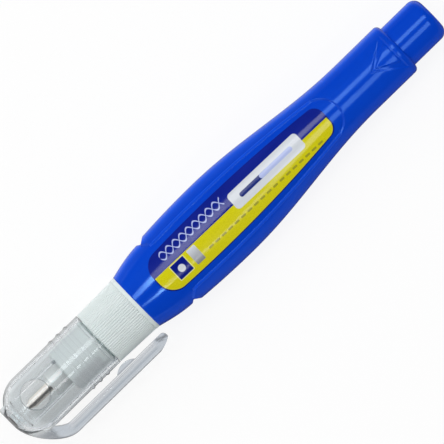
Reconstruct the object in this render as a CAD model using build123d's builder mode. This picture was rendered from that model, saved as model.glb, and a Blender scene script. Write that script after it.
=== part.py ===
import os
from math import cos, pi, radians, sin, sqrt

from build123d import *

os.makedirs("parts", exist_ok=True)

# Correction pen lying on its back, label up. Millimetres.
# X runs from the cap to the tail, the clip is on the -Y side, the table is Z = 0.

# Lengths along the pen
cap_length = 29.0
cap_gap = 0.2
collar_length = 12.5
bottle_length = 87.1
post_length = 11.2

# Bottle
body_width = 21.64
panel_half_depth = 8.35
front_radius = 8.0
tail_radius = 7.27
post_radius = 5.92
belly_from_front = 28.3
notch_from_front = 10.2
depth_hold = 12.0
taper_length = 45.0
wing_front_drop = 0.72
skin_step = 0.45
bottle_wall = 1.3
shoulder_round = 1.2
post_round = 2.4
notch_depth = 0.6
notch_width = 2.9
back_flat = 0.3

# Label panel and label, half-widths across the pen
panel_half_width = 7.6
panel_front_half_width = 7.35
panel_side_start = 2.3
panel_side_rise = 1.7
panel_rear_half_width = 5.4
panel_rear = 33.6
arch_length = 4.9
label_thickness = 0.12
label_front = 21.5
label_rear = 34.9
label_half_width = 5.8
label_front_half_width = 5.3
label_rear_half_width = 3.9
label_front_round = 4.4
label_rear_round = 2.6

# Triangular mark on the tail
mark_base_from_shoulder = 1.6
mark_length = 7.4
mark_half_width = 5.1
mark_inner_setback = 0.5
mark_inner_length = 5.6
mark_inner_half_width = 3.0
mark_depth = 0.25

# Neck of the bottle and its joint with the collar
neck_length = 8.8
neck_radius = 5.45
neck_bore_radius = 4.2
neck_clearance = 0.05
snap_from_front = 4.6
snap_height = 0.3
snap_length = 1.4
gasket_thickness = 0.9
gasket_bore_radius = 3.0

# Cap and clip
cap_radius = 7.6
cap_wall = 1.2
crown_setback = 0.15
ring_first = 20.1
ring_pitch = 2.43
ring_count = 3
ring_width = 1.0
ring_height = 0.22
vent_radius = 3.6
vent_from_end = 9.2
vent_angle = 9.0
clip_reach = 12.57
clip_thickness = 3.14
clip_edge = 1.0
clip_width = 6.0
clip_face_width = 5.2
clip_length = 41.4
strap_top = 4.3
strap_turn_start = 0.9
strap_turn_length = 10.4
strap_handle = 4.6
clip_taper = 3.9
clip_taper_drop = 1.5
clip_end_round = 2.2
clip_corner = 1.1
bump_centre = 29.0
bump_length = 5.8
bump_height = 1.2
bump_width = 3.6

# Inner cap
sleeve_radius = 4.1
sleeve_wall = 0.75
sleeve_tip_clearance = 1.0
sleeve_mouth_gap = 0.3
boss_radius = 3.0
boss_length = 1.6
stem_radius = 1.7
stem_clearance = 0.02
sleeve_chamfer = 0.4

# Collar
collar_front_radius = 7.55
collar_rear_radius = 7.85
band_length = 1.0
band_lip = 0.1
rib_count = 76
rib_height = 0.2
spigot_length = 11.6
spigot_radius = 5.75
bead_length = 1.2
bead_offset = 1.0
cap_fit = 0.04
nose_length = 4.5
nose_fit = 0.05
nose_wall = 0.8
spigot_chamfer = 0.5
nose_chamfer = 0.6
passage_radius = 3.0
passage_cone = 2.0

# Metal tip and valve
tip_reach = 7.4
tip_radius = 1.25
tip_point_radius = 0.62
tip_point_length = 1.6
tip_fit = 0.02
shank_radius = 1.72
shank_length = 6.4
tip_bore_radius = 0.75
tip_hole_length = 0.9
spring_bore_radius = 1.3
spring_bore_from_nose = 1.2
pin_radius = 0.42
pin_clearance = 0.06
pin_reach = 0.4
pin_body_radius = 0.52
pin_flange_radius = 1.1
pin_flange_length = 0.6
pin_seat_gap = 0.05
pin_guide_length = 1.5
wire_radius = 0.14
coil_radius = 0.9
coil_turns = 6
coil_gap = 0.03
retainer_length = 2.2
retainer_gap = 0.1
retainer_hole_radius = 0.62
retainer_port_radius = 0.28
retainer_port_circle = 1.15

# Mixing ball
ball_radius = 2.5
ball_gap = 0.25
ball_from_notch = 3.0

# How far a cutting or joining solid reaches past the face that it meets
overlap = 1.0

# Places that follow from the sizes
overall_length = cap_length + cap_gap + collar_length + bottle_length + post_length
cap_end_x = -overall_length / 2
mouth_x = cap_end_x + cap_length
shoulder_x = mouth_x + cap_gap
front_x = shoulder_x + collar_length
tail_x = front_x + bottle_length
end_x = tail_x + post_length
belly_x = front_x + belly_from_front
notch_x = front_x + notch_from_front
hold_x = belly_x + depth_hold
taper_x = belly_x + taper_length
body_half_width = body_width / 2
cap_bore_radius = cap_radius - cap_wall
spigot_x = shoulder_x - spigot_length
nose_x = spigot_x - nose_length
nose_radius = sleeve_radius - sleeve_wall - nose_fit
tip_x = nose_x - tip_reach
pin_x = tip_x - pin_reach
shank_x = nose_x + nose_wall
shank_end_x = shank_x + shank_length
seat_x = tip_x + tip_hole_length
retainer_x = shank_end_x + retainer_gap
retainer_end_x = retainer_x + retainer_length
head_bore_radius = shank_radius + tip_fit
neck_end_x = front_x - neck_length
gasket_x = neck_end_x - gasket_thickness
socket_radius = neck_radius + neck_clearance
axis_y = (clip_reach - body_half_width) / 2
axis_z = panel_half_depth - back_flat

pen_axis = Axis((0, axis_y, axis_z), (1, 0, 0))
profile_plane = Plane(origin=(0, axis_y, axis_z), x_dir=(1, 0, 0), z_dir=(0, -1, 0))
plan_plane = Plane(origin=(0, axis_y, axis_z), x_dir=(1, 0, 0), z_dir=(0, 0, 1))


def cross_plane(x):
    return Plane(origin=(x, axis_y, axis_z), x_dir=(0, 1, 0), z_dir=(1, 0, 0))


def ease(share):
    return (1 + cos(pi * min(max(share, 0), 1))) / 2


def wing_width_at(x):
    if x < belly_x:
        return body_half_width - wing_front_drop * ((belly_x - x) / (belly_x - notch_x)) ** 2
    return tail_radius + (body_half_width - tail_radius) * ease((x - belly_x) / taper_length)


def wing_depth_at(x):
    deep = panel_half_depth + skin_step - tail_radius
    return tail_radius + deep * ease((x - hold_x) / (taper_x - hold_x))


def panel_width_at(x):
    if x > notch_x:
        return wing_width_at(x) - skin_step
    rise = sin(pi / 2 * (x - front_x) / notch_from_front)
    return front_radius + (wing_width_at(notch_x) - skin_step - front_radius) * rise


def panel_depth_at(x):
    if x > notch_x:
        return wing_depth_at(x) - skin_step
    rise = sin(pi / 2 * (x - front_x) / notch_from_front)
    return front_radius + (panel_half_depth - front_radius) * rise


def skin(width_at, depth_at, offset, start, end, count):
    with BuildPart() as body:
        for i in range(count):
            x = start + (end - start) * i / (count - 1)
            deep = depth_at(x) + offset
            with BuildSketch(cross_plane(x)):
                Ellipse(max(width_at(x) + offset, deep), deep)
        loft()
    return body.part


# Bottle: a panel skin inside a wing skin, the wing skin open over the panels, the back cut flat to lie still
wing_skin = skin(wing_width_at, wing_depth_at, 0, notch_x - notch_width, taper_x, 14)
panel_skin = skin(panel_width_at, panel_depth_at, 0, front_x, taper_x, 16)
cavity_x = front_x + bottle_wall
cavity_skin = skin(panel_width_at, panel_depth_at, -bottle_wall, cavity_x, taper_x, 13)
cavity_radius = tail_radius - skin_step - bottle_wall

with BuildPart() as mark:
    base_x = tail_x - mark_base_from_shoulder
    inner_x = base_x - mark_inner_setback
    with BuildSketch(plan_plane):
        Polygon(
            (base_x - mark_length, 0),
            (base_x, -mark_half_width),
            (base_x, mark_half_width),
            align=None,
        )
        Polygon(
            (inner_x - mark_inner_length, 0),
            (inner_x, -mark_inner_half_width),
            (inner_x, mark_inner_half_width),
            align=None,
            mode=Mode.SUBTRACT,
        )
    extrude(amount=tail_radius + overlap)
    with BuildSketch(cross_plane(base_x - mark_length - overlap)):
        Circle(tail_radius - mark_depth)
    extrude(amount=mark_length + 2 * overlap, mode=Mode.SUBTRACT)

with BuildPart() as bottle:
    add(wing_skin)
    with BuildSketch(plan_plane):
        with BuildLine():
            side_x = notch_x + panel_side_start
            rear_x = belly_x + panel_rear
            outside = body_width
            Polyline(
                (side_x, panel_front_half_width),
                (notch_x, panel_front_half_width + panel_side_rise),
                (notch_x, outside),
                (front_x - overlap, outside),
                (front_x - overlap, -outside),
                (notch_x, -outside),
                (notch_x, -panel_front_half_width - panel_side_rise),
                (side_x, -panel_front_half_width),
            )
            ThreePointArc(
                (side_x, panel_front_half_width),
                (belly_x, panel_half_width),
                (rear_x, panel_rear_half_width),
            )
            ThreePointArc(
                (side_x, -panel_front_half_width),
                (belly_x, -panel_half_width),
                (rear_x, -panel_rear_half_width),
            )
            EllipticalCenterArc(
                (rear_x, 0),
                arch_length,
                panel_rear_half_width,
                start_angle=-90,
                arc_size=180,
            )
        make_face()
    extrude(amount=body_width, both=True, mode=Mode.SUBTRACT)
    add(panel_skin)
    with BuildSketch(profile_plane):
        with BuildLine():
            Polyline(
                (tail_x - shoulder_round, tail_radius),
                (taper_x, tail_radius),
                (taper_x, 0),
                (end_x, 0),
                (end_x, post_radius - post_round),
            )
            RadiusArc(
                (tail_x - shoulder_round, tail_radius),
                (tail_x, tail_radius - shoulder_round),
                shoulder_round,
            )
            Polyline(
                (tail_x, tail_radius - shoulder_round),
                (tail_x, post_radius),
                (end_x - post_round, post_radius),
            )
            RadiusArc((end_x - post_round, post_radius), (end_x, post_radius - post_round), post_round)
        make_face()
    revolve(axis=pen_axis)
    notch_floor = panel_width_at(notch_x) - notch_depth
    with BuildSketch(profile_plane):
        Polygon(
            (notch_x, notch_floor),
            (notch_x + notch_width / 2, wing_width_at(notch_x)),
            (notch_x + notch_width / 2, body_half_width),
            (notch_x - notch_width / 2, body_half_width),
            (notch_x - notch_width / 2, panel_width_at(notch_x)),
            align=None,
        )
    revolve(axis=pen_axis, mode=Mode.SUBTRACT)
    add(mark.part, mode=Mode.SUBTRACT)
    with BuildSketch(Plane.XY):
        with Locations((belly_x, axis_y)):
            Rectangle(2 * bottle_length, body_width)
    extrude(amount=-overlap, mode=Mode.SUBTRACT)
    with BuildSketch(profile_plane):
        with BuildLine():
            snap_x = front_x - snap_from_front
            Polyline(
                (snap_x + snap_length / 2, neck_radius),
                (front_x + bottle_wall, neck_radius),
                (front_x + bottle_wall, 0),
                (neck_end_x, 0),
                (neck_end_x, neck_radius),
                (snap_x - snap_length / 2, neck_radius),
            )
            ThreePointArc(
                (snap_x - snap_length / 2, neck_radius),
                (snap_x, neck_radius + snap_height),
                (snap_x + snap_length / 2, neck_radius),
            )
        make_face()
    revolve(axis=pen_axis)
    add(cavity_skin, mode=Mode.SUBTRACT)
    with BuildSketch(profile_plane):
        Polygon(
            (taper_x - overlap, 0),
            (taper_x - overlap, cavity_radius),
            (tail_x - bottle_wall, cavity_radius),
            (tail_x, post_radius - bottle_wall),
            (end_x - post_round, post_radius - bottle_wall),
            (end_x - bottle_wall, post_radius - post_round),
            (end_x - bottle_wall, 0),
            align=None,
        )
        Polygon(
            (neck_end_x, 0),
            (neck_end_x, neck_bore_radius),
            (cavity_x + overlap, neck_bore_radius),
            (cavity_x + overlap, 0),
            align=None,
        )
    revolve(axis=pen_axis, mode=Mode.SUBTRACT)

bottle.part.label = "bottle"
export_step(bottle.part, "parts/bottle.step")

# Printed film on the front panel
label_front_x = belly_x - label_front
label_rear_x = belly_x + label_rear
label_skin = skin(panel_width_at, panel_depth_at, label_thickness, front_x, taper_x, 16)

with BuildPart() as front_label:
    add(label_skin)
    with BuildSketch(plan_plane) as label_outline:
        with BuildLine():
            Line((label_front_x, -label_front_half_width), (label_front_x, label_front_half_width))
            ThreePointArc(
                (label_front_x, label_front_half_width),
                (belly_x, label_half_width),
                (label_rear_x, label_rear_half_width),
            )
            Line((label_rear_x, label_rear_half_width), (label_rear_x, -label_rear_half_width))
            ThreePointArc(
                (label_rear_x, -label_rear_half_width),
                (belly_x, -label_half_width),
                (label_front_x, -label_front_half_width),
            )
        make_face()
        fillet(label_outline.vertices().group_by(Axis.X)[0], label_front_round)
        fillet(label_outline.vertices().group_by(Axis.X)[-1], label_rear_round)
    extrude(amount=body_width, mode=Mode.INTERSECT)
    add(panel_skin, mode=Mode.SUBTRACT)

front_label.part.label = "front_label"
export_step(front_label.part, "parts/front_label.step")

# Steel ball on the floor of the bottle
ball_x = notch_x + ball_from_notch
ball_z = bottle_wall - back_flat + ball_gap + ball_radius

with BuildPart() as mixing_ball:
    with Locations((ball_x, axis_y, ball_z)):
        Sphere(ball_radius)

mixing_ball.part.label = "mixing_ball"
export_step(mixing_ball.part, "parts/mixing_ball.step")


# Collar: ribbed skirt, spigot for the cap, nose for the tip
def rib_points(radius):
    half = pi / rib_count
    return [
        ((radius - rib_height * (i % 2)) * cos(i * half), (radius - rib_height * (i % 2)) * sin(i * half))
        for i in range(2 * rib_count)
    ]


band_x = front_x - band_length
band_radius = collar_rear_radius + band_lip
bead_x = shoulder_x - bead_offset
bead_radius = cap_bore_radius - cap_fit

with BuildPart() as collar:
    with BuildSketch(cross_plane(shoulder_x)):
        Polygon(*rib_points(collar_front_radius), align=None)
    with BuildSketch(cross_plane(band_x)):
        Polygon(*rib_points(collar_rear_radius), align=None)
    loft(ruled=True)
    with BuildSketch(profile_plane):
        Polygon(
            (front_x, 0),
            (front_x, band_radius),
            (band_x, band_radius),
            (band_x, spigot_radius),
            (bead_x + bead_length / 2, spigot_radius),
            (bead_x + bead_length / 4, bead_radius),
            (bead_x - bead_length / 4, bead_radius),
            (bead_x - bead_length / 2, spigot_radius),
            (spigot_x + spigot_chamfer, spigot_radius),
            (spigot_x, spigot_radius - spigot_chamfer),
            (spigot_x, nose_radius),
            (nose_x + nose_chamfer, nose_radius),
            (nose_x, nose_radius - nose_chamfer),
            (nose_x, 0),
            align=None,
        )
    revolve(axis=pen_axis)
    with BuildSketch(profile_plane):
        Polygon(
            (front_x, 0),
            (front_x, socket_radius),
            (gasket_x, socket_radius),
            (gasket_x, passage_radius),
            (retainer_end_x + passage_cone, passage_radius),
            (retainer_end_x, head_bore_radius),
            (shank_x, head_bore_radius),
            (shank_x, tip_radius + tip_fit),
            (nose_x, tip_radius + tip_fit),
            (nose_x, 0),
            align=None,
        )
        with BuildLine():
            groove_half = snap_length / 2 + neck_clearance
            Line((snap_x - groove_half, socket_radius), (snap_x + groove_half, socket_radius))
            ThreePointArc(
                (snap_x - groove_half, socket_radius),
                (snap_x, socket_radius + snap_height),
                (snap_x + groove_half, socket_radius),
            )
        make_face()
    revolve(axis=pen_axis, mode=Mode.SUBTRACT)

collar.part.label = "collar"
export_step(collar.part, "parts/collar.step")

# Soft ring between neck and collar
with BuildPart() as neck_gasket:
    with BuildSketch(cross_plane(gasket_x)):
        Circle(neck_radius)
        Circle(gasket_bore_radius, mode=Mode.SUBTRACT)
    extrude(amount=gasket_thickness)

neck_gasket.part.label = "neck_gasket"
export_step(neck_gasket.part, "parts/neck_gasket.step")

# Turned tip, pressed into the nose from behind
pin_hole_radius = pin_radius + pin_clearance
spring_bore_x = nose_x + spring_bore_from_nose

with BuildPart() as metal_tip:
    with BuildSketch(profile_plane):
        Polygon(
            (tip_x, pin_hole_radius),
            (tip_x, tip_point_radius),
            (tip_x + tip_point_length, tip_radius),
            (shank_x, tip_radius),
            (shank_x, shank_radius),
            (shank_end_x, shank_radius),
            (shank_end_x, spring_bore_radius),
            (spring_bore_x, spring_bore_radius),
            (spring_bore_x, tip_bore_radius),
            (seat_x + tip_bore_radius - pin_hole_radius, tip_bore_radius),
            (seat_x, pin_hole_radius),
            align=None,
        )
    revolve(axis=pen_axis)

metal_tip.part.label = "metal_tip"
export_step(metal_tip.part, "parts/metal_tip.step")

# Needle with its closing cone and the flange that the spring pushes
flange_x = spring_bore_x + pin_reach / 2
flange_end_x = flange_x + pin_flange_length
pin_end_x = retainer_x + pin_guide_length
cone_x = seat_x + pin_seat_gap

with BuildPart() as valve_pin:
    with BuildSketch(profile_plane):
        with BuildLine():
            Polyline(
                (pin_x + pin_radius, pin_radius),
                (cone_x, pin_radius),
                (cone_x + pin_body_radius - pin_radius, pin_body_radius),
                (flange_x, pin_body_radius),
                (flange_x, pin_flange_radius),
                (flange_end_x, pin_flange_radius),
                (flange_end_x, pin_body_radius),
                (pin_end_x, pin_body_radius),
                (pin_end_x, 0),
                (pin_x, 0),
            )
            RadiusArc((pin_x, 0), (pin_x + pin_radius, pin_radius), pin_radius)
        make_face()
    revolve(axis=pen_axis)

valve_pin.part.label = "valve_pin"
export_step(valve_pin.part, "parts/valve_pin.step")

# Coil spring between the flange and the retainer
coil_x = flange_end_x + wire_radius + coil_gap
coil_length = retainer_x - wire_radius - coil_gap - coil_x

with BuildPart() as valve_spring:
    with BuildLine() as coil:
        Helix(coil_length / coil_turns, coil_length, coil_radius, (coil_x, axis_y, axis_z), (1, 0, 0))
    with BuildSketch(Plane(origin=coil.line @ 0, z_dir=coil.line % 0)):
        Circle(wire_radius)
    sweep(path=coil.line, is_frenet=True)

valve_spring.part.label = "valve_spring"
export_step(valve_spring.part, "parts/valve_spring.step")

# Ported plug that holds the spring and guides the end of the needle
with BuildPart() as spring_retainer:
    with BuildSketch(cross_plane(retainer_x)):
        Circle(shank_radius)
        Circle(retainer_hole_radius, mode=Mode.SUBTRACT)
        with PolarLocations(retainer_port_circle, 3):
            Circle(retainer_port_radius, mode=Mode.SUBTRACT)
    extrude(amount=retainer_length)

spring_retainer.part.label = "spring_retainer"
export_step(spring_retainer.part, "parts/spring_retainer.step")

# Clip strap: from the crown round to the side, then straight along the cap
clip_end_x = cap_end_x + clip_length
turn_end_x = cap_end_x + strap_turn_length
clip_inner_y = clip_thickness - clip_reach
bump_x = cap_end_x + bump_centre

with BuildPart() as clip:
    with BuildLine(plan_plane) as strap:
        Line((cap_end_x, strap_top), (cap_end_x, -strap_turn_start))
        Bezier(
            (cap_end_x, -strap_turn_start),
            (cap_end_x, -strap_turn_start - strap_handle),
            (turn_end_x - strap_handle, -clip_reach),
            (turn_end_x, -clip_reach),
        )
        Line((turn_end_x, -clip_reach), (clip_end_x, -clip_reach))
    with BuildSketch(Plane(origin=strap.line @ 0, x_dir=(0, 0, 1), z_dir=(0, -1, 0))):
        with BuildLine():
            Polyline(
                (-clip_width / 2, clip_edge - clip_thickness),
                (-clip_face_width / 2, -clip_thickness),
                (clip_face_width / 2, -clip_thickness),
                (clip_width / 2, clip_edge - clip_thickness),
            )
            ThreePointArc(
                (-clip_width / 2, clip_edge - clip_thickness),
                (0, 0),
                (clip_width / 2, clip_edge - clip_thickness),
            )
        make_face()
    sweep(path=strap.line)
    with BuildSketch(plan_plane):
        with BuildLine():
            ThreePointArc(
                (bump_x - bump_length / 2, clip_inner_y),
                (bump_x, clip_inner_y + bump_height),
                (bump_x + bump_length / 2, clip_inner_y),
            )
            Polyline(
                (bump_x - bump_length / 2, clip_inner_y),
                (bump_x, clip_inner_y - clip_edge),
                (bump_x + bump_length / 2, clip_inner_y),
            )
        make_face()
    extrude(amount=bump_width / 2, both=True)
    with BuildSketch(plan_plane):
        with BuildLine():
            RadiusArc(
                (clip_end_x - clip_taper, -clip_reach),
                (clip_end_x, clip_taper_drop - clip_reach),
                -2 * clip_taper,
            )
            Polyline(
                (clip_end_x, clip_taper_drop - clip_reach),
                (clip_end_x + overlap, clip_taper_drop - clip_reach),
                (clip_end_x + overlap, -clip_reach - overlap),
                (clip_end_x - clip_taper, -clip_reach - overlap),
                (clip_end_x - clip_taper, -clip_reach),
            )
        make_face()
        with BuildLine():
            RadiusArc(
                (clip_end_x - clip_corner, clip_inner_y),
                (clip_end_x, clip_inner_y - clip_corner),
                clip_corner,
            )
            Polyline(
                (clip_end_x, clip_inner_y - clip_corner),
                (clip_end_x + overlap, clip_inner_y - clip_corner),
                (clip_end_x + overlap, clip_inner_y + overlap),
                (clip_end_x - clip_corner, clip_inner_y + overlap),
                (clip_end_x - clip_corner, clip_inner_y),
            )
        make_face()
    extrude(amount=clip_width, both=True, mode=Mode.SUBTRACT)
    with BuildSketch(profile_plane) as clip_top:
        with Locations((clip_end_x - clip_length, 0)):
            Rectangle(2 * clip_length, clip_width)
        fillet(clip_top.vertices().group_by(Axis.X)[-1], clip_end_round)
    extrude(amount=2 * clip_reach, both=True, mode=Mode.INTERSECT)

# Cap: domed shell with grip rings, boss for the inner cap, vent hole and clip
dome_x = cap_end_x + crown_setback + cap_radius
boss_end_x = cap_end_x + crown_setback + cap_wall + boss_length
stem_x = cap_end_x + crown_setback + cap_wall

with BuildPart() as cap:
    with BuildSketch(profile_plane):
        with BuildLine():
            start_x = dome_x
            for i in range(ring_count):
                ring_x = cap_end_x + ring_first + i * ring_pitch
                Line((start_x, cap_radius), (ring_x - ring_width / 2, cap_radius))
                ThreePointArc(
                    (ring_x - ring_width / 2, cap_radius),
                    (ring_x, cap_radius + ring_height),
                    (ring_x + ring_width / 2, cap_radius),
                )
                start_x = ring_x + ring_width / 2
            Polyline(
                (start_x, cap_radius),
                (mouth_x, cap_radius),
                (mouth_x, 0),
                (dome_x - cap_radius, 0),
            )
            RadiusArc((dome_x - cap_radius, 0), (dome_x, cap_radius), cap_radius)
        make_face()
    revolve(axis=pen_axis)
    add(clip.part)
    with BuildSketch(profile_plane):
        with BuildLine():
            boss_root_x = dome_x - sqrt(cap_bore_radius**2 - boss_radius**2)
            Polyline(
                (dome_x, cap_bore_radius),
                (mouth_x, cap_bore_radius),
                (mouth_x, 0),
                (boss_end_x, 0),
                (boss_end_x, boss_radius),
                (boss_root_x, boss_radius),
            )
            RadiusArc((boss_root_x, boss_radius), (dome_x, cap_bore_radius), cap_bore_radius)
        make_face()
        Polygon(
            (stem_x, 0),
            (stem_x, stem_radius),
            (boss_end_x, stem_radius),
            (boss_end_x, 0),
            align=None,
        )
    revolve(axis=pen_axis, mode=Mode.SUBTRACT)
    vent_plane = Plane(
        origin=(cap_end_x + vent_from_end, axis_y, axis_z),
        x_dir=(1, 0, 0),
        z_dir=(0, sin(radians(vent_angle)), cos(radians(vent_angle))),
    )
    with BuildSketch(vent_plane):
        Circle(vent_radius)
    extrude(amount=2 * cap_radius, mode=Mode.SUBTRACT)

cap.part.label = "cap"
export_step(cap.part, "parts/cap.step")

# Inner cap: clear sleeve on the boss, closing round the nose
sleeve_bottom_x = boss_end_x
sleeve_bore_x = pin_x - sleeve_tip_clearance
sleeve_mouth_x = spigot_x - sleeve_mouth_gap
sleeve_bore_radius = sleeve_radius - sleeve_wall

with BuildPart() as inner_cap:
    with BuildSketch(profile_plane):
        Polygon(
            (stem_x, 0),
            (stem_x, stem_radius - stem_clearance),
            (sleeve_bottom_x, stem_radius - stem_clearance),
            (sleeve_bottom_x, sleeve_radius - sleeve_chamfer),
            (sleeve_bottom_x + sleeve_chamfer, sleeve_radius),
            (sleeve_mouth_x, sleeve_radius),
            (sleeve_mouth_x, sleeve_bore_radius),
            (sleeve_bore_x, sleeve_bore_radius),
            (sleeve_bore_x, 0),
            align=None,
        )
    revolve(axis=pen_axis)

inner_cap.part.label = "inner_cap"
export_step(inner_cap.part, "parts/inner_cap.step")
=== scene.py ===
import math

import bmesh
import bpy
import numpy as np
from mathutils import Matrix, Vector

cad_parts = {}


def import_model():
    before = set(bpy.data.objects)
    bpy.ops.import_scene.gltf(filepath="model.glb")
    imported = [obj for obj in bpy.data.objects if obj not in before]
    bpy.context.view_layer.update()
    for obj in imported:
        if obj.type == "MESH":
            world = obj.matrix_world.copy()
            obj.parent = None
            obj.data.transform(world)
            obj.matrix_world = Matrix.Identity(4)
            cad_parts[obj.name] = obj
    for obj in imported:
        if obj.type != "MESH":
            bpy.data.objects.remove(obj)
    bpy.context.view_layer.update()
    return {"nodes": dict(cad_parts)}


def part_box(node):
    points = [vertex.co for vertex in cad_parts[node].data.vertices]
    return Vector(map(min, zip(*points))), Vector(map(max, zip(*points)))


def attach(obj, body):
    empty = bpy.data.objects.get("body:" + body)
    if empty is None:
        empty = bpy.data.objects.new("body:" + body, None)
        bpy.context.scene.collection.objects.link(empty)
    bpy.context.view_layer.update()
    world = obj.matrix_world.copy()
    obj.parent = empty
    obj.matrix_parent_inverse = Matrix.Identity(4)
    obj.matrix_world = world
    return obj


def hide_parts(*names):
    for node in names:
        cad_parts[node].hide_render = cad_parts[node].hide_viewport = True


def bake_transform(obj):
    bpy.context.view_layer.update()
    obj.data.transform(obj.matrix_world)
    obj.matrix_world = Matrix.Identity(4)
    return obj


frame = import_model()
nodes = frame["nodes"]
scene = bpy.context.scene
mm = 0.001
mergeGap = 2e-6  # metres; corners of loose triangles closer than this are one point

tipLow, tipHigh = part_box("metal_tip")
axisY = (tipLow.y + tipHigh.y) / 2 / mm  # the pen's centre line, in millimetres
axisZ = (tipLow.z + tipHigh.z) / 2 / mm
print("frame loaded, pen axis at y %.3f z %.3f mm" % (axisY, axisZ))


# node helpers
def paint(red, green, blue):  # screen colour to the linear one that shaders want
    def linear(value):
        share = value / 255
        return share / 12.92 if share <= 0.04045 else ((share + 0.055) / 1.055) ** 2.4

    return (linear(red), linear(green), linear(blue), 1.0)


def addNode(tree, kind, **settings):
    node = tree.nodes.new(kind)
    for key, value in settings.items():
        setattr(node, key, value)
    return node


def setInputs(node, values):
    for name, value in values.items():
        node.inputs[name].default_value = value


def feed(tree, source, socket):  # a number or colour sets the socket, another socket is linked to it
    if isinstance(source, (int, float, tuple)):
        socket.default_value = source
    else:
        tree.links.new(source, socket)


def calc(tree, operation, first, second=0.0):
    node = addNode(tree, "ShaderNodeMath", operation=operation)
    feed(tree, first, node.inputs[0])
    feed(tree, second, node.inputs[1])
    return node.outputs[0]


def times(tree, first, *others):
    for other in others:
        first = calc(tree, "MULTIPLY", first, other)
    return first


def largest(tree, first, *others):
    for other in others:
        first = calc(tree, "MAXIMUM", first, other)
    return first


def minus(tree, first, second):
    return calc(tree, "SUBTRACT", first, second)


def offFrom(tree, value, centre):  # distance either way from a centre
    return calc(tree, "ABSOLUTE", minus(tree, value, centre))


def lengthOf(tree, first, second):
    return calc(tree, "SQRT", calc(tree, "ADD", times(tree, first, first), times(tree, second, second)))


def remap(tree, value, low, high, toLow=0.0, toHigh=1.0, smooth=True):
    node = addNode(tree, "ShaderNodeMapRange", interpolation_type="SMOOTHSTEP" if smooth else "LINEAR")
    feed(tree, value, node.inputs["Value"])
    setInputs(node, {"From Min": low, "From Max": high})
    feed(tree, toLow, node.inputs["To Min"])
    feed(tree, toHigh, node.inputs["To Max"])
    return node.outputs["Result"]


def fade(tree, value, low, high):  # one up to low, nothing from high on
    return remap(tree, value, low, high, 1.0, 0.0)


def past(tree, value, edge, soft):
    return remap(tree, value, edge - soft, edge + soft)


def before(tree, value, edge, soft):
    return fade(tree, value, edge - soft, edge + soft)


def between(tree, value, low, high, soft):
    return times(tree, past(tree, value, low, soft), before(tree, value, high, soft))


def blendColours(tree, share, under, over):
    node = addNode(tree, "ShaderNodeMix", data_type="RGBA")
    feed(tree, share, node.inputs[0])
    feed(tree, under, node.inputs[6])
    feed(tree, over, node.inputs[7])
    return node.outputs[2]


def placeOf(tree, kind="Object"):
    return addNode(tree, "ShaderNodeTexCoord").outputs[kind]


def addMapping(tree, vector, **values):
    node = addNode(tree, "ShaderNodeMapping")
    setInputs(node, values)
    tree.links.new(vector, node.inputs["Vector"])
    return node.outputs["Vector"]


def split(tree, vector):
    axes = addNode(tree, "ShaderNodeSeparateXYZ")
    tree.links.new(vector, axes.inputs[0])
    return axes.outputs["X"], axes.outputs["Y"], axes.outputs["Z"]


def penPlace(tree):  # millimetres along the pen and from its axis
    scale = (1 / mm, 1 / mm, 1 / mm)
    return split(tree, addMapping(tree, placeOf(tree), Scale=scale, Location=(0, -axisY, -axisZ)))


def facing(tree):  # how far the surface is turned towards +Y, the lit side of the pen
    return split(tree, placeOf(tree, "Normal"))[1]


def freshMaterial(name):
    material = bpy.data.materials.new(name)
    material.use_nodes = True
    tree = material.node_tree
    return material, tree, tree.nodes["Principled BSDF"]


def addBump(tree, shader, height, strength, distance):
    bump = addNode(tree, "ShaderNodeBump")
    setInputs(bump, {"Strength": strength, "Distance": distance})
    tree.links.new(height, bump.inputs["Height"])
    tree.links.new(bump.outputs["Normal"], shader.inputs["Normal"])


# shared surface effects
noiseSpan = (0.3, 0.7)  # nearly all of the noise lies here
plasticDepth, metalDepth, filmDepth = 0.05 * mm, 0.02 * mm, 0.04 * mm  # heights of the bumps


def newGroup(name, inputs, outputs):
    group = bpy.data.node_groups.new(name, "ShaderNodeTree")
    for socket, start in inputs.items():
        given = group.interface.new_socket(socket, in_out="INPUT", socket_type="NodeSocketFloat")
        given.default_value = start
    for socket in outputs:
        group.interface.new_socket(socket, in_out="OUTPUT", socket_type="NodeSocketFloat")
    return group, addNode(group, "NodeGroupInput").outputs, addNode(group, "NodeGroupOutput").inputs


def addNoise(tree, vector, scale, detail):
    noise = addNode(tree, "ShaderNodeTexNoise")
    noise.inputs["Detail"].default_value = detail
    tree.links.new(vector, noise.inputs["Vector"])
    tree.links.new(scale, noise.inputs["Scale"])
    return noise.outputs["Fac"]


def makeMouldedSkin():  # fine grain and lengthwise flow of a moulded plastic
    starts = {"Grain Scale": 2500.0, "Flow Scale": 220.0, "Rough Low": 0.2, "Rough High": 0.3}
    group, given, result = newGroup("mouldedSkin", starts, ("Grain", "Flow", "Roughness"))
    place = placeOf(group)
    grain = addNoise(group, place, given["Grain Scale"], detail=3.0)
    stretched = addMapping(group, place, Scale=(0.12, 1.0, 1.0))  # flow marks run along the pen
    flow = addNoise(group, stretched, given["Flow Scale"], detail=2.0)
    rough = remap(group, flow, *noiseSpan, given["Rough Low"], given["Rough High"], smooth=False)
    for name, value in (("Grain", grain), ("Flow", flow), ("Roughness", rough)):
        group.links.new(value, result[name])
    return group


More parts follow.
